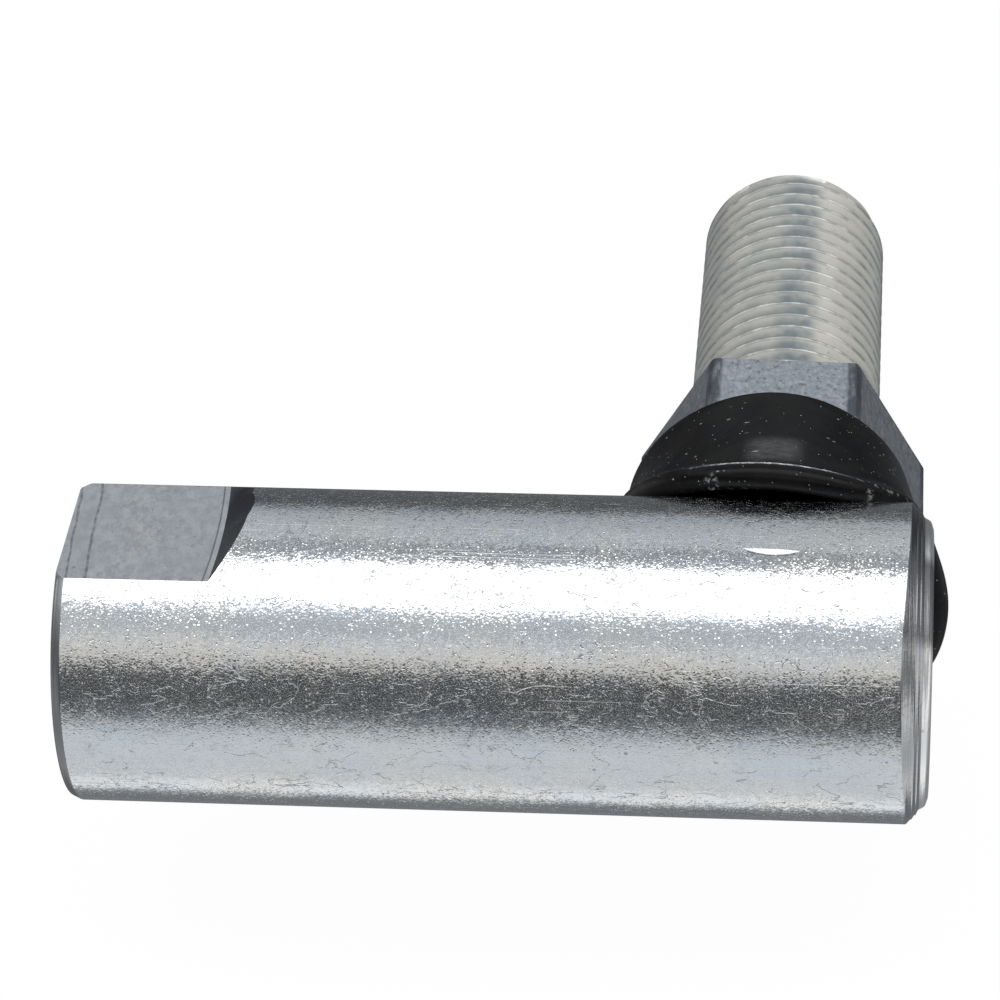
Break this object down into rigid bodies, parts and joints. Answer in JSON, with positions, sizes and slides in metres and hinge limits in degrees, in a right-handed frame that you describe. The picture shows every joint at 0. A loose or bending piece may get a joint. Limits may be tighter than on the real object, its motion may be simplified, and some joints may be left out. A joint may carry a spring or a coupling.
{
  "type": "rod end bearing",
  "caption": "Rod end with a female-threaded steel barrel and a booted ball stud with hex and threaded shank at right angles to it.",
  "frame": {"origin": "centre of the threaded hole's mouth, in the barrel's end face", "axes": "+X along the barrel to its closed end, +Y out along the ball stud, +Z out of a wrench flat"},
  "size_m": [0.0479, 0.0526, 0.0196],
  "materials": {
    "zinc_plate": "bright zinc plated, tumbled",
    "stud_steel": "zinc plated, matte on the rolled thread",
    "spring_steel": "oiled spring steel",
    "seat_acetal": "machined natural acetal",
    "boot_rubber": "semi-gloss black rubber"
  },
  "bodies": {
    "housing": {"barrel": "zinc_plate", "end_plug": "zinc_plate", "thrust_washer": "spring_steel", "disc_spring_front": "spring_steel", "disc_spring_rear": "spring_steel"},
    "seats": {"inner_seat": "seat_acetal", "outer_seat": "seat_acetal"},
    "boot": {"boot": "boot_rubber"},
    "stud": {"ball_stud": "stud_steel"}
  },
  "joints": [
    {"name": "swing", "type": "hinge", "parent": "housing", "child": "seats", "pos_m": [0.0381, 0, 0], "axis": [1, 0, 0], "range_deg": [-15, 15]},
    {"name": "tilt", "type": "hinge", "parent": "seats", "child": "boot", "pos_m": [0.0381, 0, 0], "axis": [0, 0, 1], "range_deg": [-13, 13], "deforming": ["boot"]},
    {"name": "spin", "type": "hinge", "parent": "boot", "child": "stud", "pos_m": [0.0381, 0, 0], "axis": [0, 1, 0], "continuous": true}
  ]
}
